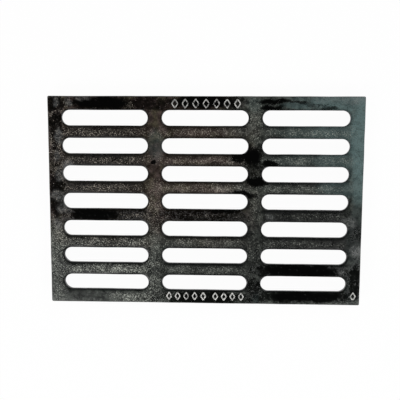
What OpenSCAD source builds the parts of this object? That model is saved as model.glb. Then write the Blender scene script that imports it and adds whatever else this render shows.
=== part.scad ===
// Cast iron channel drain grate, one casting lying face up.
// A flat plate carries three columns of seven rounded slots. The bars and webs
// between them taper towards the underside, where a plain rim stands a little
// proud of them as the seat that bears on the channel's frame.

/* [Plate] */
// Overall length, along X
plate_l = 600; // [590:1:640]
// Overall width, along Y
plate_w = 400; // [392:1:440]
// Overall height, from the seat to the walking face
plate_h = 30; // [26:1:60]
// Radius along the outer top edges
rim_r = 3; // [1:0.5:5]
// Radius of the four corners seen from above
corner_r = 2.5; // [1:0.5:8]
// Draft of the outer walls, in degrees
rim_draft = 1; // [0.5:0.5:3]

/* [Slots] */
// Slots along the length
slot_cols = 3; // [1:1:3]
// Slots across the width
slot_rows = 7; // [1:1:7]
// Length of a slot at the walking face
slot_l = 164; // [120:1:166]
// Width of a slot at the walking face
slot_w = 29; // [20:1:31]
// Distance from one column of slots to the next
col_pitch = 191; // [188:1:193]
// Distance from one row of slots to the next
row_pitch = 53; // [50:1:55]
// Radius along the top edges of the slots
slot_edge_r = 2.5; // [1:0.5:4]

/* [Bars] */
// Depth of the nearly upright land below the walking face
land_h = 8; // [5:1:12]
// Draft of that land, in degrees
land_draft = 2; // [1:0.5:4]
// How far each side of a bar draws in from the land down to its foot
bar_draw = 5.5; // [3:0.5:6]
// Radius along the foot of each bar
foot_r = 2.5; // [1:0.5:4]
// How far the feet of the bars stay above the seat
bar_rise = 3; // [2:1:6]
// Width of the seat all round the underside
seat_w = 13; // [10:1:18]

/* [Hidden] */
$fn = 64;
iron = [0.13, 0.14, 0.14];
over = 2;           // how far a cutter runs past a face
spare = 0.1;        // how far the plan stays outside the drafted walls
recess_r = 6;       // corners of the recess inside the seat

// Half the width of a slot at the walking face, under the land and at the bar's foot
face_half = slot_w / 2;
land_half = face_half + land_h * tan(land_draft);
foot_half = land_half + bar_draw;

// Slope of a bar's side below its land, away from upright
slope = atan(bar_draw / (plate_h - land_h - bar_rise));

// Distance from an edge to where its rounding starts, for the angle inside the iron
function setback(r, angle) = r / tan(angle / 2);
face_back = setback(slot_edge_r, 90 - land_draft);
foot_back = setback(foot_r, 90 + slope);

// Section of the whole block: drafted walls that end in rounded top edges
module wall_profile(width) {
    centre = width / 2 - rim_r;
    wall_top = [centre + rim_r * cos(rim_draft), plate_h - rim_r - rim_r * sin(rim_draft)];
    foot = wall_top.x - wall_top.y * tan(rim_draft);
    polygon([
        [-foot, 0], [foot, 0], wall_top, [centre, plate_h],
        [-centre, plate_h], [-wall_top.x, wall_top.y]
    ]);
    for (x = [-centre, centre])
        translate([x, plate_h - rim_r]) circle(rim_r);
}

module rounded_rectangle(l, w, r) {
    square([l - 2 * r, w], center = true);
    square([l, w - 2 * r], center = true);
    for (x = [-1, 1], y = [-1, 1])
        translate([x * (l / 2 - r), y * (w / 2 - r)]) circle(r);
}

// The solid block that everything else is cut from
module block() {
    intersection() {
        rotate([90, 0, 90]) linear_extrude(plate_l + 2 * over, center = true) wall_profile(plate_w);
        rotate([90, 0, 0]) linear_extrude(plate_w + 2 * over, center = true) wall_profile(plate_l);
        linear_extrude(plate_h)
            rounded_rectangle(plate_l + 2 * spare, plate_w + 2 * spare, corner_r);
    }
}

// Half of a slot's section: x runs from its centre line to the iron, y is height.
// The two circles are the iron's own rounded edges, at the bar's foot and at the face.
module slot_half() {
    foot_centre = [foot_half + foot_back, bar_rise + foot_r];
    face_centre = [face_half + face_back, plate_h - slot_edge_r];
    difference() {
        polygon([
            [0, -over],
            [foot_centre.x, -over],
            foot_centre,
            [foot_half - foot_back * sin(slope), bar_rise + foot_back * cos(slope)],
            [land_half, plate_h - land_h],
            [face_half + face_back * sin(land_draft), plate_h - face_back * cos(land_draft)],
            face_centre,
            [face_centre.x, plate_h + over],
            [0, plate_h + over]
        ]);
        translate(foot_centre) circle(foot_r);
        translate(face_centre) circle(slot_edge_r);
    }
}

// What one slot takes out: a straight run between two half-round ends
module slot() {
    run = slot_l - slot_w;
    rotate([90, 0, 90]) linear_extrude(run, center = true) {
        slot_half();
        mirror([1, 0]) slot_half();
    }
    for (turn = [0, 180])
        rotate(turn) translate([run / 2, 0, 0])
            rotate(-90) rotate_extrude(angle = 180) slot_half();
}

module slots() {
    for (i = [0 : slot_cols - 1], j = [0 : slot_rows - 1])
        translate([
            (i - (slot_cols - 1) / 2) * col_pitch,
            (j - (slot_rows - 1) / 2) * row_pitch,
            0
        ]) slot();
}

// The shallow recess that leaves the seat standing proud of the bars
module recess() {
    translate([0, 0, -over])
        linear_extrude(over + bar_rise)
            rounded_rectangle(plate_l - 2 * seat_w, plate_w - 2 * seat_w, recess_r);
}

module grate() {
    color(iron) difference() {
        block();
        slots();
        recess();
    }
}

grate();
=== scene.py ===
import math

import bmesh
import bpy
from mathutils import Euler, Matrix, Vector, noise


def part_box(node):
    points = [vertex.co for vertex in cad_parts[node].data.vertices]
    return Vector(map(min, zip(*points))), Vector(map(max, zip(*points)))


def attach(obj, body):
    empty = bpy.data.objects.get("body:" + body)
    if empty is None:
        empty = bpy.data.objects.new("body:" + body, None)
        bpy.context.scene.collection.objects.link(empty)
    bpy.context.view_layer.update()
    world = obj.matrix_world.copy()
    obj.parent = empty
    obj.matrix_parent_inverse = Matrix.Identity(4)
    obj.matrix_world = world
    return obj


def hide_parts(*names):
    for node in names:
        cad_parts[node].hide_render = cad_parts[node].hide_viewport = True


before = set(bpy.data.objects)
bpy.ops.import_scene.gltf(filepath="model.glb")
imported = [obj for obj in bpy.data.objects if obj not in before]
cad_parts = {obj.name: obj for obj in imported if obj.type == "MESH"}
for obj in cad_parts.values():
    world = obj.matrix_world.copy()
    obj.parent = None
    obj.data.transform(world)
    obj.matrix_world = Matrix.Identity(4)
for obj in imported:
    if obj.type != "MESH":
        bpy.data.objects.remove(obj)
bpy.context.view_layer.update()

# A cast iron channel drain grate in its black dip coating, lying face up on a white floor.
# Values are in metres unless a comment says otherwise.

MM = 0.001
HALF_LENGTH, HALF_WIDTH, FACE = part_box("grate")[1]

# The casting, as the drawing gives it
RIM_RADIUS = 3 * MM
CORNER_RADIUS = 2.5 * MM
RIM_DRAFT = math.radians(1)
SLOT_LENGTH = 164 * MM
SLOT_HALF = 14.5 * MM
COLUMN_PITCH = 191 * MM
ROW_PITCH = 53 * MM
COLUMNS = 3
ROWS = 7
EDGE_RADIUS = 2.5 * MM
LAND_DEPTH = 8 * MM
LAND_DRAFT = math.radians(2)
BAR_DRAW = 5.5 * MM
FOOT_RADIUS = 2.5 * MM
BAR_RISE = 3 * MM
SEAT_WIDTH = 13 * MM

# Worked out from it
RUN = SLOT_LENGTH - 2 * SLOT_HALF
LAND_HALF = SLOT_HALF + LAND_DEPTH * math.tan(LAND_DRAFT)
FOOT_HALF = LAND_HALF + BAR_DRAW
SLOPE = math.atan(BAR_DRAW / (FACE - LAND_DEPTH - BAR_RISE))
CELLS_X = COLUMNS * COLUMN_PITCH / 2
CELLS_Y = ROWS * ROW_PITCH / 2

# How finely the casting is meshed, in facets
END_STEPS = 20          # round each half-round slot end
RUN_STEPS = 45          # along a slot's straight run
ROUND_STEPS = 6         # round a rounded top edge
LAND_STEPS = 3          # down the land
SIDE_STEPS = 6          # down a bar's leaning side
FOOT_STEPS = 4          # round a bar's foot
FACE_RINGS = 3          # from a slot's mouth out to its neighbours, on the face
FOOT_RINGS = 2          # the same on the underside
BORDER_STEPS = 3        # from the outer slots' shares to the rim
RIM_STEPS = 7           # down the rim
SEAT_STEPS = 4          # across the seat
CORNER_STEPS = 4        # round each upright corner

# Slack in finding points again
TINY = 0.01 * MM
NEAR_SHARE_CORNER = 2 * MM
NEAR_PLATE_CORNER = 1.2 * RIM_RADIUS

# Unevenness that the sand mould leaves
SWELL = 0.3 * MM
SWELL_SIZE = 42 * MM
RIPPLE = 0.1 * MM
RIPPLE_SIZE = 9 * MM

# A bar runs this far past the slot's end, and gives way to the web or the rim over this length
BAR_OVERRUN = 4 * MM
BAR_BLEND = 16 * MM

VERT = bmesh.types.BMVert
EDGE = bmesh.types.BMEdge


# Outlines

def arc(centre, radius, start, stop, steps):
    """Points on an arc, from one angle to another, in degrees."""
    angles = [math.radians(start + (stop - start) * i / steps) for i in range(steps + 1)]
    return [(centre[0] + radius * math.cos(a), centre[1] + radius * math.sin(a)) for a in angles]


def spaced(a, b, steps):
    """The points between a and b, without either end."""
    return [tuple(p + (q - p) * i / steps for p, q in zip(a, b)) for i in range(1, steps)]


def slot_section():
    """Half width and height down a slot's wall, from the face to the bar's foot."""
    draft = math.degrees(LAND_DRAFT)
    lean = math.degrees(SLOPE)
    face_back = EDGE_RADIUS / math.tan(math.radians(45) - LAND_DRAFT / 2)
    foot_back = FOOT_RADIUS / math.tan(math.radians(45) + SLOPE / 2)
    mouth_centre = (SLOT_HALF + face_back, FACE - EDGE_RADIUS)
    foot_centre = (FOOT_HALF + foot_back, BAR_RISE + FOOT_RADIUS)
    mouth = arc(mouth_centre, EDGE_RADIUS, 90, 180 - draft, ROUND_STEPS)
    corner = (LAND_HALF, FACE - LAND_DEPTH)
    foot = arc(foot_centre, FOOT_RADIUS, 180 + lean, 270, FOOT_STEPS)
    land = spaced(mouth[-1], corner, LAND_STEPS)
    side = spaced(corner, foot[0], SIDE_STEPS)
    return mouth + land + [corner] + side + foot


def rim_section():
    """Inset from the plate's sides and height, from the face round the rim and under to the recess."""
    top = arc((-RIM_RADIUS, FACE - RIM_RADIUS), RIM_RADIUS, 90, -math.degrees(RIM_DRAFT), ROUND_STEPS)
    toe = (top[-1][0] - top[-1][1] * math.tan(RIM_DRAFT), 0)
    recess = (-SEAT_WIDTH, 0)
    ledge = (-SEAT_WIDTH, BAR_RISE)
    return top + spaced(top[-1], toe, RIM_STEPS) + [toe] + spaced(toe, recess, SEAT_STEPS) + [recess, ledge]


# The casting

def of_kind(geom, kind):
    """Only the vertices, or only the edges, of what an operator made."""
    return [item for item in geom if isinstance(item, kind)]


def spread(bm, edges, place):
    """Extrudes a closed row of edges and moves each new vertex to place(vertex)."""
    made = bmesh.ops.extrude_edge_only(bm, edges=edges)["geom"]
    for vert in of_kind(made, VERT):
        vert.co = place(vert.co)
    return [edge for edge in of_kind(made, EDGE) if len(edge.link_faces) == 1]


def slot_wall(bm):
    """One slot's wall: its section spun round one end, drawn along the run, and so back again."""
    chain = [bm.verts.new((RUN / 2, -half, height)) for half, height in slot_section()]
    geom = chain + [bm.edges.new(pair) for pair in zip(chain, chain[1:])]
    for side in (1, -1):
        centre = (side * RUN / 2, 0, 0)
        geom = bmesh.ops.spin(bm, geom=geom, axis=(0, 0, 1), cent=centre, angle=math.pi,
                              steps=END_STEPS)["geom_last"]
        step = Vector((-side * RUN / RUN_STEPS, 0, 0))
        for _ in range(RUN_STEPS):
            made = bmesh.ops.extrude_edge_only(bm, edges=of_kind(geom, EDGE))["geom"]
            verts = of_kind(made, VERT)
            bmesh.ops.translate(bm, verts=verts, vec=step)
            geom = verts + [edge for edge in of_kind(made, EDGE) if all(v in verts for v in edge.verts)]
    bmesh.ops.remove_doubles(bm, verts=bm.verts[:], dist=TINY)


def share_edge(point):
    """Where the line out from the slot's middle through a point leaves the slot's share of the plate."""
    middle = max(-RUN / 2, min(RUN / 2, point.x))
    out = Vector((point.x - middle, point.y))
    reach = math.inf
    if abs(out.x) > TINY:
        reach = (COLUMN_PITCH / 2 - abs(middle)) / abs(out.x)
    if abs(out.y) > TINY:
        reach = min(reach, ROW_PITCH / 2 / abs(out.y))
    place = Vector((middle, 0)) + out * reach
    # A point near the share's corner moves onto it, so that neighbouring shares meet there
    if COLUMN_PITCH / 2 - abs(place.x) < NEAR_SHARE_CORNER:
        place.x = math.copysign(COLUMN_PITCH / 2, place.x)
    return Vector((place.x, place.y, point.z))


def flat_around_slot(bm, height, rings):
    """Carries a slot's edge at one height out to its rectangular share, in even rings."""
    edges = [e for e in bm.edges if e.is_boundary and all(abs(v.co.z - height) < TINY for v in e.verts)]
    for ring in range(rings):
        part = 1 / (rings - ring)
        edges = spread(bm, edges, lambda co: co.lerp(share_edge(co), part))


def repeat_slot(bm):
    """Puts a copy of the slot at each place of its columns and rows, and takes the first one away."""
    pattern = bm.verts[:] + bm.edges[:] + bm.faces[:]
    for column in range(COLUMNS):
        for row in range(ROWS):
            copy = bmesh.ops.duplicate(bm, geom=pattern)["geom"]
            place = ((column - (COLUMNS - 1) / 2) * COLUMN_PITCH, (row - (ROWS - 1) / 2) * ROW_PITCH, 0)
            bmesh.ops.translate(bm, verts=of_kind(copy, VERT), vec=place)
    bmesh.ops.delete(bm, geom=of_kind(pattern, VERT), context="VERTS")
    bmesh.ops.remove_doubles(bm, verts=bm.verts[:], dist=TINY)


def rim(bm):
    """Carries the slots' shares out to the rim, round its section and back under to the recess."""
    def ring_place(inset, height):
        sides = (HALF_LENGTH + inset, HALF_WIDTH + inset)
        return lambda co: Vector((
            math.copysign(sides[0], co.x) if abs(co.x) > CELLS_X - TINY else co.x,
            math.copysign(sides[1], co.y) if abs(co.y) > CELLS_Y - TINY else co.y,
            height,
        ))

    section = rim_section()
    start = (CELLS_X - HALF_LENGTH, FACE)
    edges = [edge for edge in bm.edges if edge.is_boundary and edge.verts[0].co.z > FACE / 2]
    for inset, height in spaced(start, section[0], BORDER_STEPS) + section:
        edges = spread(bm, edges, ring_place(inset, height))
    bmesh.ops.bridge_loops(bm, edges=[edge for edge in bm.edges if edge.is_boundary])


def round_corners(bm):
    """Rounds the rim's four upright corners."""
    def at_corner(vert):
        past_end = abs(vert.co.x) > HALF_LENGTH - NEAR_PLATE_CORNER
        past_side = abs(vert.co.y) > HALF_WIDTH - NEAR_PLATE_CORNER
        return past_end and past_side

    edges = [edge for edge in bm.edges if all(at_corner(vert) for vert in edge.verts)
             and abs(edge.verts[0].co.z - edge.verts[1].co.z) > TINY]
    bmesh.ops.bevel(bm, geom=edges, offset=CORNER_RADIUS, offset_type="OFFSET", segments=CORNER_STEPS,
                    profile=0.5, affect="EDGES", material=-1, clamp_overlap=True)


def unevenness(point):
    """How far the sand mould left the surface out of true at a point."""
    return SWELL * noise.noise(point / SWELL_SIZE) + RIPPLE * noise.noise(point / RIPPLE_SIZE)


def cast_uneven(bm):
    """Pushes the surface in and out a little, as a sand mould leaves it. The seat stays flat."""
    bm.normal_update()
    above_seat = [vert for vert in bm.verts if vert.co.z > 0.5 * BAR_RISE]
    moves = [vert.normal * unevenness(vert.co) for vert in above_seat]
    for vert, move in zip(above_seat, moves):
        vert.co += move


def nearest_slot(point):
    """How far a point lies from the middle of the nearest slot, along and across the slot."""
    column = max(-(COLUMNS // 2), min(COLUMNS // 2, round(point.x / COLUMN_PITCH)))
    row = max(-(ROWS // 2), min(ROWS // 2, round(point.y / ROW_PITCH)))
    return abs(point.x - column * COLUMN_PITCH), abs(point.y - row * ROW_PITCH)


def from_slot(point):
    """How far a point lies from the nearest slot, seen from above."""
    along, across = nearest_slot(point)
    return math.hypot(max(along - RUN / 2, 0), across) - SLOT_HALF


def on_bar(point):
    """1 on the bars between two rows of slots, 0 on the webs and the rim."""
    along, _ = nearest_slot(point)
    if abs(point.y) >= (ROWS - 1) / 2 * ROW_PITCH:
        return 0
    return max(0, min(1, (SLOT_LENGTH / 2 + BAR_OVERRUN - along) / BAR_BLEND))


def note_measures(bm):
    """Notes at each vertex where it lies on the casting, for the coating to read."""
    for name, measure in (("from_slot", from_slot), ("on_bar", on_bar)):
        layer = bm.verts.layers.float.new(name)
        for vert in bm.verts:
            vert[layer] = measure(vert.co)


def piece_from(bm, name, crease, material):
    """Turns a bmesh into a piece of the grate, smooth but for edges sharper than crease degrees."""
    mesh = bpy.data.meshes.new(name)
    bm.to_mesh(mesh)
    bm.free()
    mesh.polygons.foreach_set("use_smooth", [True] * len(mesh.polygons))
    mesh.set_sharp_from_angle(angle=math.radians(crease))
    mesh.materials.append(material)
    piece = bpy.data.objects.new(name, mesh)
    bpy.context.scene.collection.objects.link(piece)
    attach(piece, "root")
    return piece


def make_casting(material):
    """The whole casting as one closed mesh."""
    bm = bmesh.new()
    slot_wall(bm)
    flat_around_slot(bm, FACE, FACE_RINGS)
    flat_around_slot(bm, BAR_RISE, FOOT_RINGS)
    repeat_slot(bm)
    rim(bm)
    round_corners(bm)
    bmesh.ops.remove_doubles(bm, verts=bm.verts[:], dist=TINY)
    bmesh.ops.recalc_face_normals(bm, faces=bm.faces[:])
    note_measures(bm)
    cast_uneven(bm)
    return piece_from(bm, "casting", 40, material)


# The raised marks

# A mark's bead: how far in from its outline and how far above the face, in mm. Its feet are sunk.
MARK_BEAD = [
    (0, -0.45), (0.35, 0.05), (0.8, 0.4), (1.4, 0.6),
    (2.1, 0.6), (2.7, 0.4), (3.1, 0.05), (3.4, -0.45),
]
MARK_CUTS = 5           # added points along each side of a lozenge
MARK_SMOOTHING = 2      # rounds of smoothing that soften its corners

# Half width and half height of a mark
TOP_MARK = (8 * MM, 11.5 * MM)
LOW_MARK = (7 * MM, 10.4 * MM)

# Where their middles lie, in mm
TOP_LINE = 186
LOW_LINE = -185.5
TOP_MIDDLE = 2
TOP_PITCH = 19.7
LOW_LEFT_START = -68.5
LOW_RIGHT_START = 21.5
LOW_PITCH = 16.6
TOP_MARKS = [(TOP_MIDDLE + TOP_PITCH * i, TOP_LINE) for i in range(-3, 4)]
LOW_LEFT_MARKS = [(LOW_LEFT_START + LOW_PITCH * i, LOW_LINE) for i in range(5)]
LOW_RIGHT_MARKS = [(LOW_RIGHT_START + LOW_PITCH * i, LOW_LINE) for i in range(4)]
CORNER_MARK = (287, -182)


def lozenge(bm, x, y, size):
    """One raised lozenge outline with a rounded bead, its foot sunk into the face."""
    middle = Vector((x * MM, y * MM, FACE))
    to_side = size[0] * size[1] / math.hypot(*size)
    corners = bmesh.ops.create_circle(bm, radius=1, segments=4)["verts"]
    bmesh.ops.scale(bm, verts=corners, vec=(*size, 1))
    bmesh.ops.translate(bm, verts=corners, vec=middle)
    bmesh.ops.subdivide_edges(bm, edges=[edge for edge in bm.edges if edge.is_wire], cuts=MARK_CUTS)
    outline = [edge for edge in bm.edges if edge.is_wire]
    verts = list({vert for edge in outline for vert in edge.verts})
    for _ in range(MARK_SMOOTHING):
        bmesh.ops.smooth_vert(bm, verts=verts, factor=0.5, use_axis_x=True, use_axis_y=True)
    bmesh.ops.translate(bm, verts=verts, vec=(0, 0, MARK_BEAD[0][1] * MM))
    ring = outline
    for (before, _), (inset, height) in zip(MARK_BEAD, MARK_BEAD[1:]):
        share = (to_side - inset * MM) / (to_side - before * MM)
        level = FACE + height * MM
        ring = spread(bm, ring, lambda co: Vector((*(middle + (co - middle) * share).xy, level)))
    bmesh.ops.bridge_loops(bm, edges=outline + ring)


def make_marks(material):
    """All the raised marks, standing on the uneven face."""
    bm = bmesh.new()
    for x, y in TOP_MARKS:
        lozenge(bm, x, y, TOP_MARK)
    for x, y in LOW_LEFT_MARKS + LOW_RIGHT_MARKS + [CORNER_MARK]:
        lozenge(bm, x, y, LOW_MARK)
    bmesh.ops.recalc_face_normals(bm, faces=bm.faces[:])
    for vert in bm.verts:
        vert.co.z += unevenness(Vector((vert.co.x, vert.co.y, FACE)))
    return piece_from(bm, "raised_marks", 60, material)


# The coating

BLACK = (0.001, 0.0011, 0.001, 1)
BROWN_BLACK = (0.0075, 0.0048, 0.0022, 1)
# The green colours are those under the painted sky tint, a painted reflection
GREEN_BLACK = (0.0027, 0.0044, 0.004, 1)
RED_GREY = (0.073, 0.051, 0.045, 1)
OLIVE_GREY = (0.067, 0.056, 0.036, 1)
GREEN_GREY = (0.071, 0.08, 0.07, 1)
# Colours of the bright specks, partly painted glints
WARM_GRAIN_GLINT = (0.57, 0.51, 0.43, 1)
COOL_GRAIN_GLINT = (0.5, 0.52, 0.46, 1)
# The colour of the painted sky sheen, a painted reflection
SKY_SHEEN = (0.1, 0.157, 0.156, 1)
SMEAR = (0.16, 0.165, 0.165, 1)
# Bare iron on the marks' rubbed tops, lightened as a painted highlight
WORN_IRON_GLINT = (0.8, 0.8, 0.76, 1)
COAT_GLOSS = 0.32

# Grain of the coating, from the finest to the slowest change
FINE = 1.3 * MM
COARSE = 2.3 * MM
BLOTCH = 7 * MM
CLOUD = 13 * MM
TINT = 26 * MM
SLOW = 34 * MM
BROAD = 70 * MM

# Bright specks on the coating, partly painted glints, and grain and patches on the rubbed marks
SMALL_SPECK = 1.5 * MM
SPECK = 2.2 * MM
WORN_GRAIN = 3.1 * MM
WORN_PATCH = 11 * MM

CREST_HALF = 6 * MM     # half width of the grainy strip and painted highlight along each bar
WANDER = 20 * MM        # how far outlines stray, in bends of this next size
WANDER_SIZE = 24 * MM
STRAY = 80 * MM         # how far the borders between the colours stray
COAT_RELIEF = 1 * MM    # how deep the grain is
WORN_RELIEF = 0.4 * MM

# Each pair below is where something sets in and where it is full.

# Heights: the flat face above its rounded edges, the walls below them, and the tops of the marks
FLAT_FACE = (FACE - 2.2 * MM, FACE - 0.7 * MM)
SLOT_WALLS = (FACE - 3 * MM, FACE - 9 * MM)
MARK_TOPS = (FACE + 0.2 * MM, FACE + 0.55 * MM)

# Distances from the nearest slot: the painted shade along the slots' edges, the grain, and the outer side
# of the rim
EDGE_SHADE_FROM_SLOT = (1.4 * MM, 4.5 * MM)
GRAIN_FROM_SLOT = (1 * MM, 6 * MM)
RIM_FROM_SLOT = (3 * MM, 24 * MM)

# Places along X or Y
GREEN_RIGHT = (0, 110 * MM)             # brown gives way to a painted green tint, a reflection of the sky, towards the right
GREEN_BELOW = (0, -120 * MM)            # and towards the bottom
SOFT_GRAIN = (-120 * MM, -70 * MM)      # the grain is sharp to the left of this
SHEEN_END = (260 * MM, 300 * MM)         # the painted sky sheen is strongest at the right end
TOP_SIDE = (-150 * MM, 150 * MM)        # the marks are lighter towards the bottom, painted light from the front

# Each place below is x, y, half length and half width in mm, and how strongly it shows.

# Where the coating ran together into a smooth black pool
POOLS = [
    # top rim, from the left, and the arc at its right
    (-286, 187, 26, 16, 0.9), (-197, 187, 74, 17, 1.0), (-106, 187, 48, 17, 0.85), (1, 189, 84, 16, 1.0),
    (130, 189, 34, 5, 1.0), (176, 187, 26, 4, 0.8), (208, 182, 22, 4, 0.6), (124, 178, 22, 5, 1.0),
    (232, 177, 20, 5, 0.8),
    # left rim
    (-284, 140, 17, 42, 0.85), (-285, 75, 16, 44, 0.75), (-284, 12, 19, 64, 0.9), (-290, 104, 7, 14, 0.8),
    # left web
    (-98, 76, 7, 6, 1.0), (-86, -34, 13, 20, 0.55),
    # right web
    (90, 85, 23, 21, 1.0), (66, 83, 18, 9, 0.95), (124, 73, 16, 8, 0.95), (96, 60, 16, 24, 0.6),
    (99, 39, 26, 10, 1.0), (68, 14, 32, 8, 0.95), (96, -166, 14, 30, 0.7),
    # bars
    (-215, -26, 60, 15, 1.0), (-140, -24, 50, 14, 0.6), (-5, -27, 100, 16, 0.75), (36, -18, 36, 7, 0.95),
    (184, -133, 96, 16, 1.0),
    # right rim and bottom rim
    (291, -62, 13, 16, 0.6), (291, -154, 15, 44, 0.9), (196, -184, 104, 15, 1.0), (3, -190, 92, 17, 0.95),
    (-90, -187, 18, 14, 0.6),
]

# Painted shade: where everything is darker, without being smooth
SHADES = [
    # left column
    (-200, 80, 70, 80, 0.84), (-222, 130, 34, 12, 0.8), (-238, 75, 24, 9, 0.9), (-240, 24, 28, 16, 0.95),
    (-128, -27, 44, 16, 0.6), (-270, -150, 60, 60, 0.3),
    # middle column
    (0, -80, 90, 18, 0.2), (10, -132, 60, 18, 0.35),
    # right column
    (196, -27, 106, 20, 0.85), (230, -80, 84, 18, 0.95), (140, -80, 60, 18, 0.8),
    # webs
    (-95, -135, 20, 26, 0.5), (-95, -170, 20, 20, 0.15), (96, 64, 22, 50, 0.6), (96, 8, 20, 24, 0.3),
    (96, -80, 20, 90, 0.68), (96, -170, 20, 34, 0.82),
    # rim
    (-286, 130, 16, 80, 0.5), (-285, -150, 20, 50, 0.35), (146, 183, 38, 8, 0.5), (290, -66, 20, 56, 0.95),
    (272, -150, 26, 34, 0.6),
]

# Painted reflection of the sky: a blue green sheen, where the coating is also duller
SKY_SHEENS = [
    # top rim and right rim
    (94, 186, 14, 14, 0.2), (172, 181, 30, 7, 0.85), (196, 194, 40, 6, 0.5), (262, 190, 70, 18, 1.0),
    (296, 194, 24, 20, 1.0), (291, 112, 20, 84, 1.0), (292, 28, 16, 36, 0.72), (292, -20, 13, 26, 0.25),
    (291, -66, 18, 52, 0.2), (288, -168, 18, 30, 0.1),
    # bars of the right column
    (248, 132, 56, 16, 0.58), (250, 79, 50, 16, 0.55), (256, 26, 40, 16, 0.5), (196, 132, 60, 14, 0.3),
    (196, 79, 60, 14, 0.2),
    # webs
    (-93, 106, 14, 30, 0.24), (100, -187, 7, 9, 0.45),
]

# Where it is rubbed to a broken grey smear
SMEARS = [
    # left rim and the top left corner
    (-258, 186, 6, 9, 0.55), (-232, 196, 12, 4, 0.4), (-284, 190, 6, 8, 0.6), (-279, 122, 7, 14, 0.7),
    (-282, 88, 6, 12, 0.5), (-261, 66, 9, 10, 0.8), (-277, 50, 10, 14, 0.55), (-279, 8, 15, 10, 0.8),
    (-272, -15, 13, 10, 0.65), (-286, -46, 9, 10, 0.5),
    # right column, right rim and the top right corner
    (126, -30, 7, 6, 0.6), (262, -134, 7, 7, 0.7), (276, -38, 12, 11, 0.45), (291, -93, 10, 13, 0.85),
    (288, 195, 34, 10, 0.4), (230, 193, 30, 7, 0.25),
]

# Where the grain of the casting stands out most
RUBBED = [
    # bars of the left column
    (-180, 132, 90, 17, 0.25), (-180, 80, 90, 17, 0.25), (-170, 26, 84, 17, 0.25), (-180, -79, 98, 17, 0.5),
    (-183, -132, 100, 17, 0.85),
    # bars of the middle column
    (10, 132, 100, 17, 0.45), (0, 80, 80, 17, 0.42), (0, 26, 100, 17, 0.75), (0, -79, 96, 17, 0.45),
    (-10, -132, 76, 17, 0.45),
    # bars of the right column
    (196, 132, 80, 17, 0.52), (190, 79, 80, 17, 0.47), (180, 26, 80, 17, 0.42), (180, -79, 70, 17, 0.4),
    # webs
    (-97, -20, 14, 46, 0.6), (-95, -140, 16, 60, 0.62), (95, 152, 15, 44, 0.55), (96, -5, 12, 18, 0.5),
    (96, -46, 18, 26, 0.26), (96, -96, 16, 26, 0.32), (94, -150, 14, 26, 0.12),
    # rim
    (-284, 188, 20, 16, 0.4), (-148, 184, 15, 8, 0.7), (-284, 110, 17, 90, 0.5), (-284, 30, 17, 50, 0.5),
    (-285, -112, 17, 88, 0.55), (-130, -189, 50, 10, 0.6),
]


class Wiring:
    """Shorthand for adding shader nodes and joining them up."""

    def __init__(self, tree):
        self.tree = tree

    def add(self, kind, inputs=None, **settings):
        node = self.tree.nodes.new("ShaderNode" + kind)
        for key, value in settings.items():
            setattr(node, key, value)
        for key, value in (inputs or {}).items():
            self.set(node.inputs[key], value)
        return node

    def set(self, socket, value):
        """Joins another node's output to a socket, or gives it a plain value."""
        if isinstance(value, bpy.types.NodeSocket):
            self.tree.links.new(value, socket)
        else:
            socket.default_value = value

    def calc(self, operation, *values, clamp=False):
        node = self.add("Math", operation=operation, use_clamp=clamp)
        for socket, value in zip(node.inputs, values):
            self.set(socket, value)
        return node.outputs[0]

    def plus(self, first, second):
        return self.calc("ADD", first, second)

    def most(self, first, second):
        return self.calc("MAXIMUM", first, second)

    def times(self, first, *others):
        """The product of two or more values."""
        for value in others:
            first = self.calc("MULTIPLY", first, value)
        return first

    def line(self, value, slope, start):
        """start + slope * value."""
        return self.calc("MULTIPLY_ADD", value, slope, start)


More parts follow.
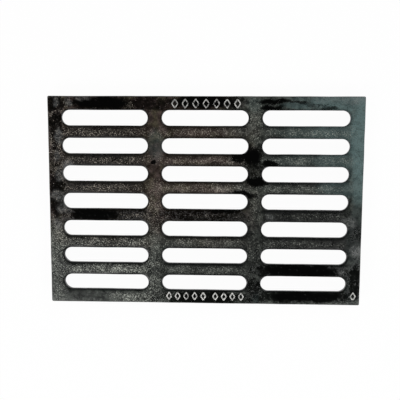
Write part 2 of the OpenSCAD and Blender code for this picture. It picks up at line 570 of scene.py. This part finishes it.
class Finish(Wiring):
    """One material, drawn on the piece itself. Sizes are in metres."""

    def __init__(self, name):
        self.material = bpy.data.materials.new(name)
        self.material.use_nodes = True
        super().__init__(self.material.node_tree)
        self.shader = self.tree.nodes["Principled BSDF"]
        self.place = self.add("TexCoord").outputs["Object"]
        self.x, self.y, self.height = self.add("SeparateXYZ", {"Vector": self.place}).outputs

    def vector(self, operation, *values):
        node = self.add("VectorMath", operation=operation)
        for socket, value in zip(node.inputs, values):
            self.set(socket, value)
        return node.outputs["Value" if operation == "LENGTH" else "Vector"]

    def sized(self, place, size, shift):
        """A place in units of size, shifted so that each shift gives another pattern."""
        return self.add("Mapping", {"Vector": place, "Location": (shift, shift, shift),
                                    "Scale": (1 / size,) * 3}).outputs[0]

    def noise(self, size, detail=2, rough=0.5, shift=0, out="Fac"):
        """Cloudy pattern whose blobs are about size across."""
        place = self.sized(self.place, size, shift)
        return self.add("TexNoise", {"Vector": place, "Scale": 1, "Detail": detail,
                                     "Roughness": rough}).outputs[out]

    def fade(self, value, low, high, to_low=0, to_high=1):
        """Runs smoothly from to_low to to_high as value goes from low to high."""
        return self.add("MapRange", {"Value": value, "From Min": low, "From Max": high, "To Min": to_low,
                                     "To Max": to_high}, interpolation_type="SMOOTHSTEP").outputs[0]

    def mix(self, part, first, second):
        """part of the second colour over the first."""
        node = self.add("Mix", data_type="RGBA")
        for index, value in ((0, part), (6, first), (7, second)):
            self.set(node.inputs[index], value)
        return node.outputs[2]

    def moved(self, size, by, shift):
        """The place on the piece, shifted by a cloudy pattern, so that outlines drawn with it wander."""
        cloud = self.noise(size, 3, 0.6, shift, "Color")
        drift = self.add("VectorMath", {"Scale": by}, operation="SCALE")
        self.set(drift.inputs[0], self.vector("SUBTRACT", cloud, (0.5, 0.5, 0.5)))
        return self.vector("ADD", self.place, drift.outputs["Vector"])

    def dots(self, size, reach, shift):
        """Scattered ragged specks of uneven brightness, one in each cell about size across.

        Reach is how far a speck spreads, as a share of its cell.
        """
        where = self.moved(0.7 * size, 0.7 * size, shift)
        cells = self.add("TexVoronoi", {"Vector": self.sized(where, size, shift), "Scale": 1})
        chance = self.add("SeparateColor", {"Color": cells.outputs["Color"]}).outputs[0]
        inside = self.fade(self.calc("SUBTRACT", reach, cells.outputs["Distance"]), 0, 0.2)
        return self.times(inside, self.fade(chance, 0.1, 1))

    def patches(self, places, where, soft):
        """A mask that shows the listed oval places, each at its strength, with soft edges."""
        mask = 0.0
        for x, y, half_x, half_y, strength in places:
            away = self.vector("SUBTRACT", where, (x * MM, y * MM, FACE))
            away = self.vector("DIVIDE", away, (half_x * MM, half_y * MM, 1))
            inside = self.fade(self.vector("LENGTH", away), 1 - soft, 1 + soft, strength, 0)
            mask = self.most(mask, inside)
        return mask

    def coat(self, colour, rough, relief, depth):
        """Joins the colour, the roughness and the fine relief to the shader."""
        bump = self.add("Bump", {"Height": relief, "Strength": 1.0, "Distance": depth}).outputs[0]
        self.set(self.shader.inputs["Base Color"], colour)
        self.set(self.shader.inputs["Roughness"], rough)
        self.set(self.shader.inputs["Normal"], bump)


class BlackCoating(Finish):
    """Black dip coating on sand cast iron: grainy along the bars with a painted highlight down their
    middles, black at their edges as painted shade, and black in pools.
    """

    def __init__(self, name):
        super().__init__(name)
        self.find_forms()
        self.lay_grain()
        self.lay_places()
        self.wear_and_light()
        self.coat(self.colour(), self.roughness(), self.relief(), COAT_RELIEF)
        self.shader.inputs["Specular IOR Level"].default_value = COAT_GLOSS

    def find_forms(self):
        """Tells the bars from the webs and the rim, and the flat face from its rounded edges."""
        self.distance = self.add("Attribute", attribute_name="from_slot").outputs["Fac"]
        self.bar = self.add("Attribute", attribute_name="on_bar").outputs["Fac"]
        self.plain = self.calc("SUBTRACT", 1, self.bar)
        self.on_face = self.fade(self.height, *FLAT_FACE)
        # Away from the slots' edges; nearer them the colour stays black, a painted shade
        self.crown = self.times(self.on_face, self.fade(self.distance, *EDGE_SHADE_FROM_SLOT))

    def lay_grain(self):
        """Lays the patterns that break up everything else, and finds the side of the plate: the painted
        green sky tint to the right and below, and the soft grain.
        """
        self.where = self.moved(WANDER_SIZE, WANDER, 5)
        self.fine = self.noise(FINE, 2, 0.55, 1)
        self.coarse = self.noise(COARSE, 2, 0.6, 2)
        self.cloud = self.noise(CLOUD, 3, 0.6, 3)
        self.blotch = self.noise(BLOTCH, 3, 0.6, 7)
        self.ragged = self.plus(self.line(self.coarse, 1.3, -0.65), self.line(self.blotch, 1.2, -0.6))
        broad = self.line(self.noise(BROAD, 3, 0.55, 4), 2 * STRAY, -STRAY)
        along = self.plus(self.x, broad)
        across = self.plus(self.y, broad)
        self.green = self.most(self.fade(along, *GREEN_RIGHT), self.fade(across, *GREEN_BELOW))
        self.soft = self.fade(along, *SOFT_GRAIN)

    def lay_places(self):
        """Lays the pools, the painted sky sheens, the smears, the painted shades and the rubbed places."""
        pool = self.times(self.patches(POOLS, self.where, 0.5), self.on_face)
        edge = self.fade(self.calc("SUBTRACT", pool, self.ragged), 0.25, 0.75)
        self.pool = self.times(pool, edge)
        # The painted sky sheen: a painted reflection of the sky, broken up by the grain
        sky_sheen = self.times(self.patches(SKY_SHEENS, self.where, 0.4), self.on_face)
        broken = self.fade(self.coarse, 0.34, 0.66, 0.5, 1)
        sky_sheen = self.times(sky_sheen, broken, self.fade(self.cloud, 0.35, 0.6, 0.7, 1))
        self.sky_sheen = self.calc("MULTIPLY", sky_sheen, self.fade(self.x, *SHEEN_END, 0.9, 1.3), clamp=True)
        smear = self.times(self.patches(SMEARS, self.where, 0.5), self.on_face)
        self.smear = self.times(smear, self.fade(self.ragged, -0.2, 0.2, 0.2, 1))
        self.rubbed = self.patches(RUBBED, self.where, 0.5)
        self.shade = self.patches(SHADES, self.where, 0.6)

    def crest(self):
        """1 along the middle of each bar and less beside it, over a wider strip where it is rubbed: partly
        rubbing, partly a painted highlight on the bar's crown.
        """
        wandering_y = self.add("SeparateXYZ", {"Vector": self.where}).outputs["Y"]
        y = self.times(self.plus(self.y, wandering_y), 0.5)
        # The strip sits 1 mm toward the front of the bar's middle, as painted light from the front
        from_middle = self.calc("SUBTRACT", y, ROW_PITCH / 2 - 1 * MM)
        from_middle = self.calc("WRAP", from_middle, ROW_PITCH / 2, -ROW_PITCH / 2)
        from_middle = self.calc("DIVIDE", from_middle, CREST_HALF)
        fall = self.times(from_middle, from_middle, self.line(self.rubbed, 0.85, -1.1))
        return self.times(self.calc("EXPONENT", fall), self.bar)

    def wear_and_light(self):
        """How far the coating is rubbed down to the grain of the iron, with a painted highlight along the
        bars' middles and painted shade along the slots' edges.
        """
        on_crest = self.times(self.crest(), self.line(self.rubbed, 0.65, 0.35))
        off_bar = self.times(self.plain, self.line(self.rubbed, 0.95, 0.03))
        uneven = self.fade(self.cloud, 0.35, 0.6, 0.6, 1.1)
        slow = self.fade(self.noise(SLOW, 2, 0.5, 12), 0.38, 0.6, 0.7, 1.25)
        # Fewer specks in the pools and under the painted shade
        pool_and_shade = self.most(self.pool, self.times(self.shade, 0.45))
        worn_and_lit = self.times(self.plus(on_crest, off_bar), uneven, slow)
        worn_and_lit = self.times(worn_and_lit, self.line(pool_and_shade, -1, 1), self.line(self.sky_sheen, -0.4, 1))
        self.worn_and_lit = self.times(self.most(worn_and_lit, self.times(self.smear, 0.4)), self.crown)

    def thinness_and_light(self):
        """How far the grey of the iron comes through the black, between the specks, with the painted
        highlight and the painted shade along the slots' edges in it.
        """
        rim_side = self.fade(self.distance, *RIM_FROM_SLOT, 0.8, 1.15)
        mottle = self.times(self.fade(self.cloud, 0.34, 0.64, 0.25, 1.02),
                            self.fade(self.blotch, 0.38, 0.62, 0.35, 1.45), rim_side)
        mottle = self.times(mottle, self.line(self.rubbed, -0.75, 1))
        even = self.times(self.line(self.plain, mottle, 0.03), self.crown)
        through_wear_and_light = self.line(self.times(self.soft, self.bar), 0.72, 0.22)
        return self.calc("MULTIPLY_ADD", self.worn_and_lit, through_wear_and_light, even, clamp=True)

    def pits(self):
        """Black pits between the grains."""
        deep = self.line(self.most(self.bar, self.rubbed), 0.27, 0.6)
        return self.times(self.fade(self.coarse, 0.52, 0.38), deep, self.line(self.soft, -0.35, 1))

    def specks(self):
        """Bright grains of bare iron, partly painted glints, larger where the coating is more rubbed
        through.
        """
        reach = self.line(self.worn_and_lit, 0.27, 0.31)
        dots = self.line(self.dots(SMALL_SPECK, reach, 9), 0.6, self.dots(SPECK, reach, 8))
        dots = self.times(dots, self.line(self.soft, -0.45, 1))
        return self.calc("MULTIPLY", dots, self.fade(self.worn_and_lit, 0, 0.2), clamp=True)

    def colour(self):
        """Brown on the left and a painted green sky tint on the right and below, with painted shade, the
        painted sky sheen, the pools, the smears and the specks over it.
        """
        # The painted green sky tint, a reflection, in the dark and pale colours and in the specks
        dark = self.mix(self.green, BROWN_BLACK, GREEN_BLACK)
        brown = self.mix(self.fade(self.noise(TINT, 2, 0.5, 11), 0.46, 0.63), RED_GREY, OLIVE_GREY)
        pale = self.mix(self.green, brown, GREEN_GREY)
        grain = self.mix(self.green, WARM_GRAIN_GLINT, COOL_GRAIN_GLINT)
        colour = self.mix(self.thinness_and_light(), dark, pale)
        colour = self.mix(self.pits(), colour, BLACK)
        # The painted sky sheen over it
        colour = self.mix(self.sky_sheen, colour, SKY_SHEEN)
        # Painted shade over it
        colour = self.mix(self.times(self.shade, 0.8), colour, BLACK)
        colour = self.mix(self.pool, colour, BLACK)
        colour = self.mix(self.times(self.smear, 0.75), colour, SMEAR)
        # The specks: grains of bare iron and painted glints
        return self.mix(self.specks(), colour, grain)

    def roughness(self):
        """Duller under the painted sky sheen and where smeared, and shiny in the pools."""
        rough = self.fade(self.cloud, 0.3, 0.7, 0.26, 0.36)
        rough = self.line(self.sky_sheen, 0.1, rough)
        rough = self.line(self.smear, 0.2, rough)
        return self.most(self.line(self.pool, -0.2, rough), 0.13)

    def relief(self):
        """Sandy grain, strongest on the bars and the walls, and next to none in the pools."""
        smooth = self.most(self.pool, self.times(self.sky_sheen, 0.7))
        walls = self.fade(self.height, *SLOT_WALLS)
        off_edge = self.most(self.fade(self.distance, *GRAIN_FROM_SLOT, 0.2, 1), walls)
        strength = self.times(self.line(smooth, -0.94, 1.0), self.line(self.bar, 0.3, 0.5), off_edge)
        grain = self.line(self.coarse, 0.7, self.times(self.fine, 0.3))
        return self.line(self.noise(CLOUD, 2, 0.5, 6), 0.5, self.times(grain, strength))


class WornLitCoating(Finish):
    """The same black coating, rubbed through to grey iron on top of what stands proud of the face; that
    iron is lightened as a painted highlight, and lighter towards the bottom as painted light.
    """

    def __init__(self, name):
        super().__init__(name)
        coarse = self.noise(WORN_GRAIN, 3, 0.6, 2)
        patchy = self.fade(self.noise(WORN_PATCH, 2, 0.5, 3), 0.38, 0.56, 0.6, 1)
        proud = self.fade(self.height, *MARK_TOPS)
        painted_light_to_bottom = self.fade(self.y, *TOP_SIDE, 1, 0.72)
        worn_and_lit = self.times(proud, self.fade(coarse, 0.32, 0.54), patchy, painted_light_to_bottom)
        colour = self.mix(worn_and_lit, BLACK, WORN_IRON_GLINT)
        self.coat(colour, self.fade(worn_and_lit, 0, 1, 0.2, 0.5), coarse, WORN_RELIEF)


# The camera, where the photograph was taken from

PHOTO_WIDTH = 400
FOCAL_PIXELS = 650
SENSOR_WIDTH = 36
CAMERA_PLACE = (0.0393, 0.1547, 1.2641)
CAMERA_TURN = (-6.978, 2.261, 0.214)


def make_camera():
    data = bpy.data.cameras.new("camera")
    data.sensor_width = SENSOR_WIDTH
    data.lens = FOCAL_PIXELS / PHOTO_WIDTH * SENSOR_WIDTH
    camera = bpy.data.objects.new("camera", data)
    camera.location = CAMERA_PLACE
    camera.rotation_euler = Euler([math.radians(angle) for angle in CAMERA_TURN])
    bpy.context.scene.collection.objects.link(camera)
    bpy.context.scene.camera = camera


# Floor and light

FLOOR_HALF = 6
FLOOR_GREY = (0.92, 0.92, 0.92, 1)
FLOOR_GLOW = 0.97       # share of plain white in what the camera sees of the floor
WORLD_WHITE = (1, 1, 1, 1)
WORLD_DIM = 0.03        # how bright the surroundings are for everything but the camera
LAMP_SIZE = 1.0
LAMP_OUT = 1.3
LAMP_UP = 1.6
# Each lamp's side in x and in y, and its power
LAMPS = {
    "lamp_left_front": (-1, -1, 30),
    "lamp_right_front": (1, -1, 24),
    "lamp_right_back": (1, 1, 18),
    "lamp_left_back": (-1, 1, 10),
}


def white_floor(name):
    """White to the camera and to reflections, with the shadow of the grate still on it."""
    material = bpy.data.materials.new(name)
    material.use_nodes = True
    wiring = Wiring(material.node_tree)
    wiring.tree.nodes.clear()
    ray = wiring.add("LightPath").outputs
    seen = wiring.most(wiring.most(ray["Is Camera Ray"], ray["Is Glossy Ray"]), ray["Is Transmission Ray"])
    matt = wiring.add("BsdfDiffuse", {"Color": FLOOR_GREY}).outputs[0]
    glow = wiring.add("Emission").outputs[0]
    mix = wiring.add("MixShader")
    for socket, value in zip(mix.inputs, (wiring.times(seen, FLOOR_GLOW), matt, glow)):
        wiring.set(socket, value)
    wiring.add("OutputMaterial", {"Surface": mix.outputs[0]})
    return material


def make_floor():
    bm = bmesh.new()
    bmesh.ops.create_grid(bm, x_segments=1, y_segments=1, size=FLOOR_HALF)
    mesh = bpy.data.meshes.new("floor")
    bm.to_mesh(mesh)
    bm.free()
    mesh.materials.append(white_floor("white_floor"))
    floor = bpy.data.objects.new("floor", mesh)
    bpy.context.scene.collection.objects.link(floor)


def soft_box(name, side_x, side_y, power):
    """A square lamp that faces the grate."""
    data = bpy.data.lights.new(name, "AREA")
    data.size = LAMP_SIZE
    data.energy = power
    lamp = bpy.data.objects.new(name, data)
    lamp.location = (side_x * LAMP_OUT, side_y * LAMP_OUT, LAMP_UP)
    lamp.rotation_euler = (-lamp.location).to_track_quat("-Z", "Y").to_euler()
    bpy.context.scene.collection.objects.link(lamp)


def make_surroundings():
    """Dim all round as far as the grate is concerned, and white where the camera looks past the floor."""
    world = bpy.data.worlds.new("studio")
    world.use_nodes = True
    wiring = Wiring(world.node_tree)
    seen = wiring.add("LightPath").outputs["Is Camera Ray"]
    background = world.node_tree.nodes["Background"]
    wiring.set(background.inputs["Color"], WORLD_WHITE)
    wiring.set(background.inputs["Strength"], wiring.most(seen, WORLD_DIM))
    bpy.context.scene.world = world


# The scene

casting = make_casting(BlackCoating("black_coating").material)
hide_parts("grate")
make_marks(WornLitCoating("worn_lit_coating").material)
make_camera()
make_floor()
for lamp_name, (side_x, side_y, power) in LAMPS.items():
    soft_box(lamp_name, side_x, side_y, power)
make_surroundings()
bpy.context.scene.view_settings.view_transform = "Standard"
